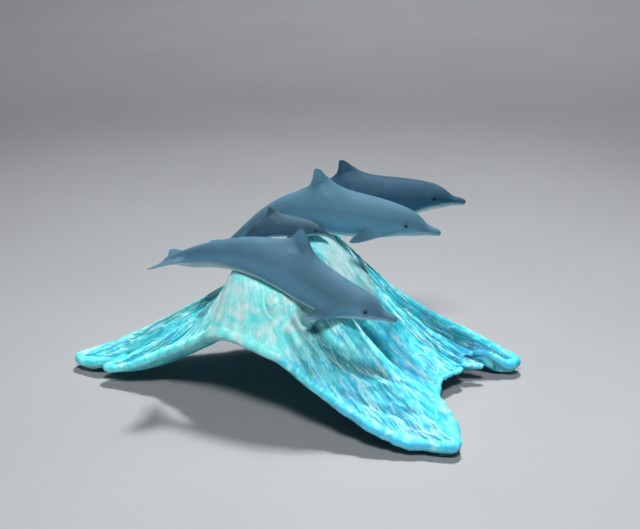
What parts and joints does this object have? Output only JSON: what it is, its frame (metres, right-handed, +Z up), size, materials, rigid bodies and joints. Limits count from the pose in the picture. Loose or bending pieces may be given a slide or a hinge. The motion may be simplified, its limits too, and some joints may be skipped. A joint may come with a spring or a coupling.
{
  "type": "dolphin pod figurine",
  "caption": "Table figurine of adult dolphins and a calf leaping over a painted root-wood wave that stands on clear bumper pads.",
  "frame": {"origin": "on the surface the figurine stands on, under the middle of its bounding box", "axes": "+X the way the dolphins swim, along the figurine's longest extent, -Y the side of the wave's open arch, +Z up"},
  "size_m": [0.3348, 0.1966, 0.1625],
  "materials": {
    "root_wood": "turquoise and white airbrush under satin varnish",
    "front_dolphin": "satin airbrushed resin",
    "middle_dolphin": "satin airbrushed resin",
    "rear_dolphin": "satin airbrushed resin",
    "calf": "satin airbrushed resin",
    "clear_bumper": "clear, smooth"
  },
  "bodies": {
    "root": {"wave_base": "root_wood", "dolphin_front": "front_dolphin", "dolphin_middle": "middle_dolphin", "dolphin_rear": "rear_dolphin", "dolphin_calf": "calf", "pad_left": "clear_bumper", "pad_front": "clear_bumper", "pad_right": "clear_bumper"}
  },
  "joints": []
}
